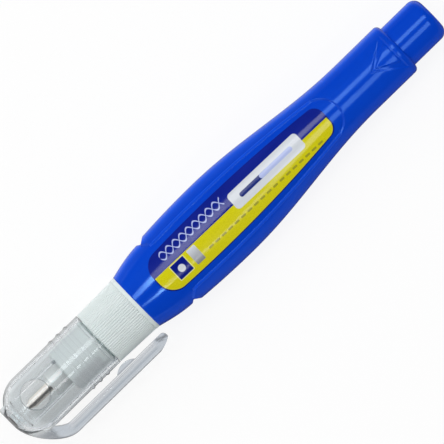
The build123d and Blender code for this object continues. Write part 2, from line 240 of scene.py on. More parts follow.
def makeTurnedMetal():  # rings that a lathe or a drawing die leaves round the pen's axis
    starts = {"Ring Scale": 4000.0, "Rough Low": 0.15, "Rough High": 0.3}
    group, given, result = newGroup("turnedMetal", starts, ("Rings", "Roughness"))
    squashed = addMapping(group, placeOf(group), Scale=(1.0, 0.03, 0.03))
    rings = addNoise(group, squashed, given["Ring Scale"], detail=2.0)
    rough = remap(group, rings, *noiseSpan, given["Rough Low"], given["Rough High"], smooth=False)
    for name, value in (("Rings", rings), ("Roughness", rough)):
        group.links.new(value, result[name])
    return group


mouldedSkin = makeMouldedSkin()
turnedMetal = makeTurnedMetal()


def useGroup(tree, group, values):
    node = addNode(tree, "ShaderNodeGroup", node_tree=group)
    setInputs(node, values)
    return node.outputs


def plasticMaterial(name, look):
    material, tree, shader = freshMaterial(name)
    skin = useGroup(tree, mouldedSkin, look["skin"])
    colour = blendColours(tree, skin["Flow"], look["deep"], look["pale"])
    rough = skin["Roughness"]
    x, y = penPlace(tree)[:2]
    if "glow" in look:  # painted light: the blue made paler on the side turned towards +Y, the lit side
        colour = blendColours(tree, remap(tree, facing(tree), *look["glowFrom"]), colour, look["glow"])
    for start, tone in look.get("stages", ()):  # another tone from this station towards the tip; on the collar the nose is painted paler, painted light against the shade inside the cap
        colour = blendColours(tree, before(tree, x, start, look["stageSoft"]), colour, tone)
    if "crest" in look:  # painted highlight: a paler line along the panel's edge on the +Y (lit) side; both edges also rougher
        crest = look["crest"]
        cx, cy, radius = crest["circle"]
        reach = lengthOf(tree, minus(tree, x, cx), minus(tree, calc(tree, "ABSOLUTE", y), cy))
        onPanelEdge = fade(tree, offFrom(tree, reach, radius), *crest["width"])
        onPanelEdge = times(tree, onPanelEdge, between(tree, x, *crest["along"], crest["endSoft"]))
        lit = times(tree, onPanelEdge, remap(tree, y, *crest["litFrom"]))
        colour = blendColours(tree, lit, colour, crest["tone"])
        rough = calc(tree, "ADD", rough, times(tree, onPanelEdge, crest["rough"]))
    tree.links.new(colour, shader.inputs["Base Color"])
    tree.links.new(rough, shader.inputs["Roughness"])
    addBump(tree, shader, skin["Grain"], look["bump"], plasticDepth)
    setInputs(shader, look.get("shader", {}))
    return material


def metalMaterial(name, look):
    material, tree, shader = freshMaterial(name)
    rings = useGroup(tree, turnedMetal, look["rings"])
    colour = blendColours(tree, rings["Rings"], look["deep"], look["pale"])
    if "lit" in look:  # painted light and shade: paler on the side turned towards the light, with a darker painted-shade band on the side away from it
        side = facing(tree)
        colour = blendColours(tree, remap(tree, side, *look["litFrom"]), colour, look["lit"])
        band = between(tree, side, *look["leeBand"], look["leeSoft"])
        colour = blendColours(tree, band, colour, look["lee"])
    tree.links.new(colour, shader.inputs["Base Color"])
    tree.links.new(rings["Roughness"], shader.inputs["Roughness"])
    addBump(tree, shader, rings["Rings"], look["bump"], metalDepth)
    shader.inputs["Metallic"].default_value = look.get("metallic", 1.0)
    return material


def dress(node, material):  # a carried-over node keeps its shape and takes a better finish
    mesh = nodes[node].data
    mesh.materials.clear()
    mesh.materials.append(material)


def addObject(name, data):
    thing = bpy.data.objects.new(name, data)
    scene.collection.objects.link(thing)
    return thing


def plainMesh(source, name):  # what the source's modifiers make of it, as a mesh of its own
    bpy.context.view_layer.update()
    mesh = bpy.data.meshes.new_from_object(source.evaluated_get(bpy.context.evaluated_depsgraph_get()))
    mesh.name = name
    bpy.data.objects.remove(source)
    return mesh


# bottle
bottleLook = {
    "deep": paint(2, 60, 191), "pale": paint(5, 71, 208),
    "skin": {"Grain Scale": 1800.0, "Flow Scale": 160.0, "Rough Low": 0.10, "Rough High": 0.15},
    "bump": 0.05,
    "shader": {"Specular IOR Level": 1.0, "IOR": 1.46, "Specular Tint": (0.25, 0.55, 1.0, 1.0)},
    # glow: painted light, paler blue on the side turned towards the light
    "glow": paint(6, 86, 232), "glowFrom": (0.74, 0.96),
    # crest tone: painted highlight along the panel edge on the lit side
    "crest": {"tone": paint(6, 72, 212), "rough": 0.85, "width": (0.2, 0.4), "endSoft": 0.6,
              "litFrom": (-1.0, 1.0), "beforeFront": 0.6, "pastRear": 0.9},
}
bottleSizes = {  # millimetres; hold, taper and panelRearAt are counted from the belly
    "bellyFromFront": 28.3, "notchFromFront": 10.2, "hold": 12.0, "taper": 45.0,
    "halfWidth": 10.82, "halfDepth": 8.35, "frontRadius": 8.0, "tailRadius": 7.27, "postRadius": 5.92,
    "frontDrop": 0.72, "step": 0.45, "stepSoftness": 0.2, "postLength": 11.2,
    "shoulderRound": 1.2, "postRound": 2.4, "postFillet": 0.12, "postEndFlat": 0.4,
    "panelFront": 7.35, "panelBelly": 7.6, "panelRear": 5.4, "panelRearAt": 33.6,
    "archLength": 4.9, "archSteepest": 0.97, "sideStart": 2.3, "sideLean": 0.73, "cornerBlend": 0.5,
    "notchDepth": 0.6, "notchWidth": 2.9, "notchBlend": 0.12, "notchReach": 3.0, "wingStart": 0.25,
    "markBase": 1.6, "markLength": 7.4, "markHalf": 5.1, "markSetback": 0.5,
    "markInnerLength": 5.6, "markInnerHalf": 3.0, "markDepth": 0.22, "markSoftness": 0.14,
}
bottleMesh = {  # where the rings, and the points on them, lie closer together
    "notchSpan": 2.2, "sideLead": 1.5, "archBefore": 1.0, "archAfter": 1.2, "markSpan": 10.0,
    "rings": (26, 36, 18, 72, 40, 16, 60), "quarter": 72, "quarterMarks": (0, 0.28, 0.64, 1),
    "edgeReach": 0.5, "edgeShare": 0.7, "edgeLimits": (0.02, 0.97), "evenOver": 5.0,
    "roundSteps": 8, "filletSteps": 4, "postSteps": 5,
}


def easeDown(share):
    return (1 + np.cos(np.pi * np.clip(share, 0, 1))) / 2


def smoothStep(value, low, high):
    share = np.clip((value - low) / (high - low), 0, 1)
    return share * share * (3 - 2 * share)


def softLeast(a, b, blend):  # the smaller of two, rounded where they cross
    h = np.clip(0.5 + 0.5 * (b - a) / blend, 0, 1)
    return b * (1 - h) + a * h - blend * h * (1 - h)


def circleThrough(first, second, third):
    (ax, ay), (bx, by), (cx, cy) = first, second, third
    turn = 2 * (ax * (by - cy) + bx * (cy - ay) + cx * (ay - by))
    a, b, c = ax**2 + ay**2, bx**2 + by**2, cx**2 + cy**2
    x = (a * (by - cy) + b * (cy - ay) + c * (ay - by)) / turn
    y = (a * (cx - bx) + b * (ax - cx) + c * (bx - ax)) / turn
    return x, y, math.hypot(ax - x, ay - y)


def quarterArc(steps):  # what is left to the full rounding along the axis and across it
    turns = [i / steps * math.pi / 2 for i in range(steps + 1)]
    return [(1 - math.sin(a), 1 - math.cos(a)) for a in turns]


def meshFromRings(name, rings):  # rings of equal count, closed round the axis and at both ends
    count, around = rings.shape[:2]
    points = [tuple(p) for p in rings.reshape(-1, 3)]
    faces = []
    for i in range(count - 1):
        for j in range(around):
            k = (j + 1) % around
            faces.append((i * around + j, i * around + k, (i + 1) * around + k, (i + 1) * around + j))
    first, last = len(points), len(points) + 1
    points.append(tuple(rings[0].mean(0)))
    points.append(tuple(rings[-1].mean(0)))
    for j in range(around):
        k = (j + 1) % around
        faces.append((first, k, j))
        faces.append((last, (count - 1) * around + j, (count - 1) * around + k))
    mesh = bpy.data.meshes.new(name)
    mesh.from_pydata(points, [], faces)
    mesh.validate()
    mesh.shade_smooth()
    return mesh


def makeBottle():
    s, m = bottleSizes, bottleMesh
    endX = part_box("bottle")[1].x / mm
    tailX = endX - s["postLength"]
    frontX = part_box("collar")[1].x / mm
    bellyX = frontX + s["bellyFromFront"]
    notchX = frontX + s["notchFromFront"]
    holdX, taperX = bellyX + s["hold"], bellyX + s["taper"]
    sideX, rearX = notchX + s["sideStart"], bellyX + s["panelRearAt"]
    archX, shoulderX = rearX + s["archLength"], tailX - s["shoulderRound"]

    def wingWidth(x):
        front = s["halfWidth"] - s["frontDrop"] * ((bellyX - x) / (bellyX - notchX)) ** 2
        rear = s["tailRadius"] + (s["halfWidth"] - s["tailRadius"]) * easeDown((x - bellyX) / s["taper"])
        return np.where(x < bellyX, front, rear)

    def wingDepth(x):
        deep = s["halfDepth"] + s["step"] - s["tailRadius"]
        return s["tailRadius"] + deep * easeDown((x - holdX) / (taperX - holdX))

    def frontRise(x, full):
        rise = np.sin(np.pi / 2 * np.clip((x - frontX) / s["notchFromFront"], 0, 1))
        return s["frontRadius"] + (full - s["frontRadius"]) * rise

    # stations lie closer together where the surface turns quickly
    stops = [frontX, notchX - m["notchSpan"], notchX + m["notchSpan"], sideX + m["sideLead"],
             rearX - m["archBefore"], archX + m["archAfter"], tailX - m["markSpan"], shoulderX]
    spans = zip(stops[:-1], stops[1:], m["rings"])
    stations = np.concatenate([np.linspace(a, b, n, endpoint=False) for a, b, n in spans])
    stations = np.append(stations, shoulderX)
    x = stations[:, None]
    outerDeep = wingDepth(x)
    outerWide = np.maximum(wingWidth(x), outerDeep)
    panelSide = ((sideX, s["panelFront"]), (bellyX, s["panelBelly"]), (rearX, s["panelRear"]))
    cx, cy, radius = circleThrough(*panelSide)
    sideLine = cy + np.sqrt(np.maximum(radius**2 - (x - cx) ** 2, 0))

    # points lie closer together along the edge of the panel
    archShare = np.clip((x - rearX) / s["archLength"], 0, s["archSteepest"])
    edgeLine = np.where(x > rearX, s["panelRear"] * np.sqrt(1 - archShare**2), sideLine)
    lead = np.minimum(sideX - x, s["sideStart"]) * s["sideLean"]
    edgeLine = np.where(x < sideX, s["panelFront"] + lead, edgeLine)
    edgeTurn = np.arccos(np.clip(edgeLine / outerWide, *m["edgeLimits"]))
    room = np.minimum(edgeTurn, np.pi / 2 - edgeTurn) * m["edgeShare"]
    reachTurn = np.minimum(m["edgeReach"] / (outerWide * np.sin(edgeTurn)), room)
    uniform = smoothStep(x, archX, archX + m["evenOver"])
    quarter = np.linspace(0, 1, m["quarter"] + 1)
    turns = []
    for middle, reach, even in zip(edgeTurn[:, 0], reachTurn[:, 0], uniform[:, 0]):
        close = np.interp(quarter, m["quarterMarks"], (0, middle - reach, middle + reach, np.pi / 2))
        rise = close + (quarter * np.pi / 2 - close) * even
        up, down = rise[:-1], rise[:0:-1]
        turns.append(np.concatenate([up, np.pi - down, np.pi + up, 2 * np.pi - down]))
    turns = np.array(turns)
    ca, sa = np.cos(turns), np.sin(turns)

    innerDeep = np.where(x > notchX, wingDepth(x) - s["step"], frontRise(x, s["halfDepth"]))
    wingAtNotch = float(wingWidth(np.array(notchX)))
    notchWide = wingAtNotch - s["step"]
    innerWide = np.where(x > notchX, wingWidth(x) - s["step"], frontRise(x, notchWide))
    innerWide = np.maximum(innerWide, innerDeep)

    # the wings stand proud of the panel by the step
    across = np.abs(outerWide * ca)
    slant = (s["panelFront"] + (sideX - x) * s["sideLean"] - across) / math.hypot(1, s["sideLean"])
    inside = -softLeast(-slant, across - sideLine, s["cornerBlend"])
    reach = np.sqrt(((x - rearX) / s["archLength"]) ** 2 + (across / s["panelRear"]) ** 2)
    inside = np.where(x > rearX, (1 - reach) * (s["archLength"] + s["panelRear"]) / 2, inside)
    wing = 1 - smoothStep(inside, -s["stepSoftness"], s["stepSoftness"])
    wing = wing * smoothStep(x, notchX - s["wingStart"], notchX + s["wingStart"])
    wide = innerWide + (outerWide - innerWide) * wing
    deep = innerDeep + (outerDeep - innerDeep) * wing
    y, z = wide * ca, deep * sa

    # notch: an upright V at each side
    floor = notchWide - s["notchDepth"]
    flank = (wingAtNotch - floor) / (s["notchWidth"] / 2)
    allowed = floor + flank * np.sqrt((x - notchX) ** 2 + s["notchBlend"] ** 2)
    beyondPen = 99
    allowed = np.where(np.abs(x - notchX) < s["notchReach"], allowed, beyondPen)
    y = np.sign(y) * softLeast(np.abs(y), allowed, s["notchBlend"])

    # triangular mark: the band between two triangles is sunk
    def triangle(base, length, half):
        lean = half / length
        slope = ((x - (base - length)) * lean - np.abs(y)) / math.hypot(1, lean)
        return smoothStep(np.minimum(base - x, slope), -s["markSoftness"], s["markSoftness"])

    baseX = tailX - s["markBase"]
    outer = triangle(baseX, s["markLength"], s["markHalf"])
    inner = triangle(baseX - s["markSetback"], s["markInnerLength"], s["markInnerHalf"])
    sink = np.where(z > 0, s["markDepth"] * outer * (1 - inner), 0)
    far = np.hypot(y, z)
    y, z = y * (1 - sink / far), z * (1 - sink / far)
    z = np.maximum(z, -axisZ)  # flat on the back, on which the pen lies
    body = np.stack([np.broadcast_to(x, y.shape), y, z], axis=2)

    # round shoulder, step, post and its rounded end
    shoulder, fillet, end, post = s["shoulderRound"], s["postFillet"], s["postRound"], s["postRadius"]
    straight = s["postLength"] - end - fillet
    arc = quarterArc(m["roundSteps"])
    profile = [(tailX - shoulder * a, s["tailRadius"] - shoulder * b) for a, b in arc[1:]]
    profile += [(tailX + fillet * b, post + fillet * a) for a, b in quarterArc(m["filletSteps"])]
    profile += [(tailX + fillet + straight * i / m["postSteps"], post) for i in range(1, m["postSteps"])]
    profile += [(endX - end * a, post - end * b) for a, b in arc]
    profile.append((endX, post - end - s["postEndFlat"]))
    tail = np.array([[(px, pr * c, pr * d) for c, d in zip(ca[-1], sa[-1])] for px, pr in profile])
    rings = (np.concatenate([body, tail]) + np.array([0, axisY, axisZ])) * mm
    mesh = meshFromRings("bottleShell", rings)
    crest = bottleLook["crest"]
    crest.update(circle=(cx, cy, radius), along=(sideX - crest["beforeFront"], rearX + crest["pastRear"]))
    mesh.materials.append(plasticMaterial("bluePlastic", bottleLook))
    shell = addObject("bottleShell", mesh)
    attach(shell, "pen")
    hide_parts("bottle")
    print("bottle shell:", len(mesh.polygons), "faces")


makeBottle()


# printed label
labelLook = {  # millimetres; a plate is its centre, half sizes and corner radius
    "navy": paint(8, 26, 128), "navyPale": paint(12, 34, 146), "edge": paint(3, 8, 40),
    "yellow": paint(206, 199, 10), "yellowPale": paint(218, 211, 26), "cream": paint(232, 231, 150),
    "white": paint(212, 217, 224), "silverDark": paint(128, 130, 138),
    "ink": paint(96, 96, 52), "thread": paint(176, 188, 232), "stroke": paint(18, 40, 120),
    "skin": {"Grain Scale": 5200.0, "Flow Scale": 500.0, "Rough Low": 0.10, "Rough High": 0.16},
    "bump": 0.04, "shine": 0.5, "mottle": (0.35, 0.65),
    "tilt": 0.87, "divide": 0.42, "divideSoft": 0.05, "edgeWidth": 0.1,
    "inset": 0.22, "insetSoft": 0.06, "creamWidth": 0.02,
    "front": -21.5, "rear": 34.9, "halves": (5.3, 5.8, 3.9), "frontRound": 4.4, "rearRound": 2.6,
    "waveMiddle": 3.2, "waveHeight": 1.05, "wavePitch": 4.3, "waveFrom": -17.0, "waveTo": 3.0,
    "threadHalf": 0.13, "threadSoft": 0.12, "endSoft": 0.1, "plateSoft": 0.07,
    "dashPitch": 2.1, "dash": ((1.05, -3.05), (0.72, 0.26), 0.24), "dashFrom": -7.2, "dashTo": 31.0,
    "dashShare": 0.55,
    "plate": ((15.55, 0.93), (11.15, 2.27), 1.0),
    "bar": ((11.6, 0.93), (4.6, 0.62), 0.6), "lightBar": ((18.6, 0.93), (5.2, 0.62), 0.6),
    "rim": ((-14.8, -1.98), (2.25, 2.25), 0.3), "square": ((-14.8, -1.98), (2.05, 2.05), 0.2),
    "drop": ((-14.8, -1.98), (0.95, 0.95), 0.95),
    "tall": ((-10.2, -1.98), (1.25, 2.15), 0.2), "tallShade": (-4.1, 0.1),
    "prints": (("plate", "white"), ("bar", "stroke"), ("lightBar", "thread"), ("rim", "cream"),
               ("square", "navy"), ("drop", "white")),
}


def roundedPlate(tree, px, py, shape):
    (cx, cy), (halfX, halfY), corner = shape
    qx = minus(tree, offFrom(tree, px, cx), halfX - corner)
    qy = minus(tree, offFrom(tree, py, cy), halfY - corner)
    outside = lengthOf(tree, largest(tree, qx, 0.0), largest(tree, qy, 0.0))
    within = calc(tree, "MINIMUM", largest(tree, qx, qy), 0.0)
    distance = minus(tree, calc(tree, "ADD", outside, within), corner)
    return before(tree, distance, 0.0, labelLook["plateSoft"])


def makeLabelMaterial():
    k = labelLook
    material, tree, shader = freshMaterial("printedFilm")
    flat = addMapping(tree, placeOf(tree), Scale=(1 / mm, 1 / mm, 0), Location=(0, -axisY, 0))
    slant = math.radians(k["tilt"])  # the print doesn't lie quite along the pen
    slanted = addMapping(tree, flat, Rotation=(0, 0, slant))
    x = split(tree, flat)[0]
    px, py = split(tree, slanted)[:2]

    # distance in from the film's edge, corners rounded
    frontHalf, middleHalf, rearHalf = k["halves"]
    cx, cy, radius = circleThrough((k["front"], frontHalf), (0, middleHalf), (k["rear"], rearHalf))
    span = addNode(tree, "ShaderNodeVectorMath", operation="DISTANCE")
    tree.links.new(flat, span.inputs[0])
    span.inputs[1].default_value = (cx, -cy, 0)
    lower = minus(tree, radius, span.outputs["Value"])

    def corner(edge, rounding):
        a = largest(tree, minus(tree, rounding, edge), 0.0)
        b = largest(tree, minus(tree, rounding, lower), 0.0)
        return minus(tree, rounding, lengthOf(tree, a, b))

    frontEdge = corner(minus(tree, x, k["front"]), k["frontRound"])
    rearEdge = corner(minus(tree, k["rear"], x), k["rearRound"])
    edge = calc(tree, "MINIMUM", frontEdge, rearEdge)

    # two fields, the lower one with a dark edge and a thin cream line inside it
    skin = useGroup(tree, mouldedSkin, k["skin"])
    below = before(tree, py, k["divide"], k["divideSoft"])
    colour = blendColours(tree, skin["Flow"], k["navy"], k["navyPale"])
    film = times(tree, below, remap(tree, edge, 0.0, k["edgeWidth"]))
    colour = blendColours(tree, film, colour, k["edge"])
    field = times(tree, below, past(tree, edge, k["inset"], k["insetSoft"]))
    colour = blendColours(tree, field, colour, k["cream"])
    core = times(tree, field, past(tree, edge, k["inset"] + k["creamWidth"], k["insetSoft"]))
    yellow = blendColours(tree, remap(tree, skin["Grain"], *k["mottle"]), k["yellow"], k["yellowPale"])
    colour = blendColours(tree, core, colour, yellow)

    # print: two crossing threads, a row of dashes, plain plates and two bars
    swing = calc(tree, "SINE", times(tree, px, 2 * math.pi / k["wavePitch"]))
    swing = times(tree, swing, k["waveHeight"])
    height = minus(tree, py, k["waveMiddle"])
    for operation in ("ADD", "SUBTRACT"):
        off = calc(tree, "ABSOLUTE", calc(tree, operation, height, swing))
        thread = fade(tree, off, k["threadHalf"], k["threadHalf"] + k["threadSoft"])
        thread = times(tree, thread, between(tree, px, k["waveFrom"], k["waveTo"], k["endSoft"]))
        colour = blendColours(tree, thread, colour, k["thread"])
    cell = calc(tree, "FLOORED_MODULO", minus(tree, px, k["dashFrom"]), k["dashPitch"])
    row = between(tree, px, k["dashFrom"], k["dashTo"], k["endSoft"])
    dash = times(tree, roundedPlate(tree, cell, py, k["dash"]), row, k["dashShare"])
    colour = blendColours(tree, dash, colour, k["ink"])
    for shape, tone in k["prints"]:
        colour = blendColours(tree, roundedPlate(tree, px, py, k[shape]), colour, k[tone])
    shade = blendColours(tree, remap(tree, py, *k["tallShade"], smooth=False), k["silverDark"], k["white"])
    colour = blendColours(tree, roundedPlate(tree, px, py, k["tall"]), colour, shade)

    tree.links.new(colour, shader.inputs["Base Color"])
    tree.links.new(skin["Roughness"], shader.inputs["Roughness"])
    addBump(tree, shader, skin["Grain"], k["bump"], filmDepth)
    shader.inputs["Specular IOR Level"].default_value = k["shine"]
    return material


dress("front_label", makeLabelMaterial())
print("label dressed")


# collar and the pieces inside it
collarLook = {
    "deep": paint(222, 234, 234), "pale": paint(232, 241, 240),
    "skin": {"Grain Scale": 2600.0, "Flow Scale": 240.0, "Rough Low": 0.42, "Rough High": 0.55},
    "bump": 0.10,
    "stages": ((-41.2, paint(227, 232, 231)), (-52.6, paint(248, 249, 247))),  # spigot a touch less cyan, nose painted paler as painted light against the shade inside the cap
    "stageSoft": 0.1,
    "shader": {"Subsurface Weight": 0.35, "Subsurface Scale": 0.0012, "Subsurface Radius": (1.0, 1.0, 1.0)},
}
retainerLook = {
    "deep": paint(222, 222, 212), "pale": paint(234, 233, 224),
    "skin": {"Grain Scale": 3000.0, "Flow Scale": 300.0, "Rough Low": 0.4, "Rough High": 0.5},
    "bump": 0.08,
}
gasketLook = {
    "deep": paint(214, 212, 200), "pale": paint(226, 224, 214),
    "skin": {"Grain Scale": 4000.0, "Flow Scale": 300.0, "Rough Low": 0.6, "Rough High": 0.75},
    "bump": 0.15,
}
tipLook = {
    "deep": paint(208, 202, 196), "pale": paint(222, 217, 210),
    "rings": {"Ring Scale": 3500.0, "Rough Low": 0.50, "Rough High": 0.58},
    "bump": 0.12, "metallic": 0.60,
    # lit and lee: painted light on the side towards the light, a painted shade band on the side away
    "lit": paint(255, 249, 242), "litFrom": (0.3, 0.6),
    "lee": paint(120, 118, 116), "leeBand": (-0.66, -0.10), "leeSoft": 0.1,
}
pinLook = {
    "deep": paint(176, 178, 182), "pale": paint(206, 208, 212),
    "rings": {"Ring Scale": 6000.0, "Rough Low": 0.12, "Rough High": 0.22},
    "bump": 0.15,
}
springLook = {
    "deep": paint(160, 162, 168), "pale": paint(190, 192, 198),
    "rings": {"Ring Scale": 8000.0, "Rough Low": 0.2, "Rough High": 0.32},
    "bump": 0.2,
}
ballLook = {
    "deep": paint(196, 197, 200), "pale": paint(214, 215, 218),
    "rings": {"Ring Scale": 1500.0, "Rough Low": 0.06, "Rough High": 0.12},
    "bump": 0.05,
}


def makeSpring():  # a copy of the coil between the retainer and the pin, its loose corners joined
    work = bmesh.new()
    work.from_mesh(nodes["valve_spring"].data)
    bmesh.ops.remove_doubles(work, verts=work.verts, dist=mergeGap)
    mesh = bpy.data.meshes.new("valveSpring")
    work.to_mesh(mesh)
    work.free()
    mesh.shade_smooth()
    mesh.materials.append(metalMaterial("springWire", springLook))
    spring = addObject("valveSpring", mesh)
    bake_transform(spring)
    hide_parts("valve_spring")
    print("valve spring:", len(mesh.polygons), "faces")


dress("collar", plasticMaterial("whiteCollar", collarLook))
dress("spring_retainer", plasticMaterial("naturalPlastic", retainerLook))
dress("neck_gasket", plasticMaterial("softGasket", gasketLook))
dress("metal_tip", metalMaterial("nickelTip", tipLook))
dress("valve_pin", metalMaterial("pinSteel", pinLook))
makeSpring()
dress("mixing_ball", metalMaterial("ballSteel", ballLook))
print("collar and inner pieces dressed")


# clear cap and its sleeve
capLook = {  # millimetres; a reach is a distance from the pen's axis, a width runs from full tone to none
    "deep": (0.915, 0.945, 0.955, 1), "pale": (0.945, 0.97, 0.98, 1),
    "skin": {"Grain Scale": 1200.0, "Flow Scale": 140.0, "Rough Low": 0.04, "Rough High": 0.09},
    "bump": 0.01, "innerRadius": 7.0, "innerRough": 0.2,
    "absorb": (0.05, 0.13, 0.20, 1), "density": 25.0, "bend": 1.14,
    "mouthAt": 29.0, "domeAt": 7.75, "clipAt": 10.4,  # from the crown
    "edgeRound": 0.14, "edgeSteps": 3, "sharpAngle": 28.0, "flatAngle": 1.0,
    "clipRound": 0.55, "clipSteps": 6, "clipReach": 10.0, "clipEdge": 20.0, "clipStraight": 0.9,
    "evenWeight": 60,
    # greyer where the plastic is thick, only on the side away from the light: partly thicker plastic,
    # partly painted shade
    "thickShaded": {"tone": (0.66, 0.70, 0.75, 1), "reach": (7.95, 8.7), "across": (-5.0, -2.0)},
    "clip": {"reach": (9.0, 9.3), "start": (-1.5, 0.5), "end": (8.0, 9.5)},
    # painted lines on the clip: white ones are painted highlights for the glint on its rounded edge, dark
    # ones painted shade for refraction
    "paintedClipLines": ((-9.40, 0.10, (0.50, 0.53, 0.57, 1)), (-9.88, 0.15, (1, 1, 1, 1)),
              (-10.22, 0.05, (0.42, 0.45, 0.50, 1)), (-10.46, 0.07, (1, 1, 1, 1)),
              (-10.86, 0.10, (0.46, 0.50, 0.55, 1)), (-12.20, 0.12, (0.85, 0.88, 0.92, 1))),
    "paintedLineSoft": 0.12,
    # painted shade: a dark streak at the clip's free end standing in for a dark reflection
    "clipEndShade": {"tone": (0.30, 0.32, 0.35, 1), "at": 9.2, "across": 9.85, "slope": 0.32,
               "width": (0.15, 0.5), "start": 0.6},
    # rim tone: painted shade inside the mouth's rim
    "rim": {"tone": (0.46, 0.49, 0.50, 1), "depth": 0.16, "reach": (7.7, 7.9)},
    # rings tone: painted shade along the creases beside the grip rings
    "rings": {"tone": (0.87, 0.89, 0.91, 1), "count": 3, "first": 20.1, "pitch": 2.43, "half": 0.5,
              "creaseHalf": 0.1, "creaseSoft": 0.12, "endSoft": 0.05,
              "inner": (7.3, 7.5), "outer": (7.9, 8.0)},
    # vent tone: painted shade ring at the hole's edge
    "vent": {"tone": (0.44, 0.47, 0.49, 1), "at": -60.8, "lean": 9.0, "radius": 3.64,
             "width": (0.04, 0.14), "above": (4.0, 4.5)},
    "shade": {"tone": (0.84, 0.85, 0.87, 1), "along": (-52.4, -43.6), "alongSoft": 0.4,
              "across": (-5.2, -2.7), "acrossSoft": 0.7, "above": (0.0, 0.5)},
    "dot": {"tone": (0.42, 0.45, 0.48, 1), "at": (-52.4, 3.5), "radius": 0.52, "soft": 0.1,
            "above": (5.0, 5.5)},
}
sleeveLook = {
    "deep": (0.97, 0.98, 0.98, 1), "pale": (0.985, 0.99, 0.99, 1),
    "skin": {"Grain Scale": 1500.0, "Flow Scale": 180.0, "Rough Low": 0.05, "Rough High": 0.10},
    "bump": 0.01, "innerRadius": 0.0, "innerRough": 0.1,
    "absorb": (0.2, 0.25, 0.3, 1), "density": 15.0, "bend": 1.14,
}
boreSoft, coatRough = 0.1, 0.05
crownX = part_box("cap")[0].x / mm
capMouthX = crownX + capLook["mouthAt"]


def clipTones(tree, colour, x, y, far):  # strap greyer on the side away from the light (partly thicker plastic, partly painted shade), painted highlight and shade lines along the clip, painted dark streak at its end
    thickShaded, clip, clipEndShade = capLook["thickShaded"], capLook["clip"], capLook["clipEndShade"]
    ahead = calc(tree, "MINIMUM", minus(tree, x, crownX + capLook["domeAt"]), 0.0)
    deep = remap(tree, lengthOf(tree, ahead, far), *thickShaded["reach"])
    colour = blendColours(tree, times(tree, deep, fade(tree, y, *thickShaded["across"])), colour, thickShaded["tone"])
    along = minus(tree, x, crownX + capLook["clipAt"])
    onClip = times(tree, remap(tree, far, *clip["reach"]), remap(tree, along, *clip["start"]))
    pastMouth = minus(tree, x, capMouthX)
    straight = times(tree, onClip, fade(tree, pastMouth, *clip["end"]))
    # painted highlight and shade lines along the clip
    for centre, half, tone in capLook["paintedClipLines"]:
        line = fade(tree, offFrom(tree, y, centre), half, half + capLook["paintedLineSoft"])
        colour = blendColours(tree, times(tree, line, straight), colour, tone)
    # painted shade streak at the clip's free end
    late = minus(tree, pastMouth, clipEndShade["at"])
    middle = calc(tree, "ADD", calc(tree, "ADD", y, clipEndShade["across"]), times(tree, late, clipEndShade["slope"]))
    dark = fade(tree, calc(tree, "ABSOLUTE", middle), *clipEndShade["width"])
    dark = times(tree, dark, remap(tree, late, 0.0, clipEndShade["start"]), onClip)
    return blendColours(tree, dark, colour, clipEndShade["tone"])


def wallTones(tree, colour, x, far):  # painted shade: a dark band inside the mouth's rim for the gap and the dark end face, and painted shade along the creases beside the grip rings
    rim, rings = capLook["rim"], capLook["rings"]
    # painted shade band just inside the mouth
    mouth = remap(tree, x, capMouthX - rim["depth"], capMouthX - rim["depth"] / 2)
    colour = blendColours(tree, times(tree, mouth, fade(tree, far, *rim["reach"])), colour, rim["tone"])
    pitch, length = rings["pitch"], rings["pitch"] * rings["count"]
    along = minus(tree, x, crownX + rings["first"] - pitch / 2)
    cell = minus(tree, calc(tree, "FLOORED_MODULO", along, pitch), pitch / 2)
    gap = offFrom(tree, calc(tree, "ABSOLUTE", cell), rings["half"])
    # painted shade along each crease
    creaseShade = fade(tree, gap, rings["creaseHalf"], rings["creaseHalf"] + rings["creaseSoft"])
    start = remap(tree, along, 0.0, rings["endSoft"])
    end = fade(tree, along, length - rings["endSoft"], length)
    onWall = times(tree, remap(tree, far, *rings["inner"]), fade(tree, far, *rings["outer"]))
    return blendColours(tree, times(tree, creaseShade, start, end, onWall), colour, rings["tone"])


def windowTones(tree, colour, x, y, z):  # painted shade: a dark ring at the vent's edge and a shade over the spigot; the dot beside it
    vent, shade, dot = capLook["vent"], capLook["shade"], capLook["dot"]
    lean = math.radians(vent["lean"])
    across = minus(tree, times(tree, y, math.cos(lean)), times(tree, z, math.sin(lean)))
    off = offFrom(tree, lengthOf(tree, minus(tree, x, vent["at"]), across), vent["radius"])
    edge = times(tree, fade(tree, off, *vent["width"]), remap(tree, z, *vent["above"]))
    colour = blendColours(tree, edge, colour, vent["tone"])
    # painted shade over the spigot
    paintedShade = times(tree, between(tree, x, *shade["along"], shade["alongSoft"]),
                 between(tree, y, *shade["across"], shade["acrossSoft"]), remap(tree, z, *shade["above"]))
    colour = blendColours(tree, paintedShade, colour, shade["tone"])
    dotX, dotY = dot["at"]
    off = lengthOf(tree, minus(tree, x, dotX), minus(tree, y, dotY))
    spot = times(tree, before(tree, off, dot["radius"], dot["soft"]), remap(tree, z, *dot["above"]))
    return blendColours(tree, spot, colour, dot["tone"])


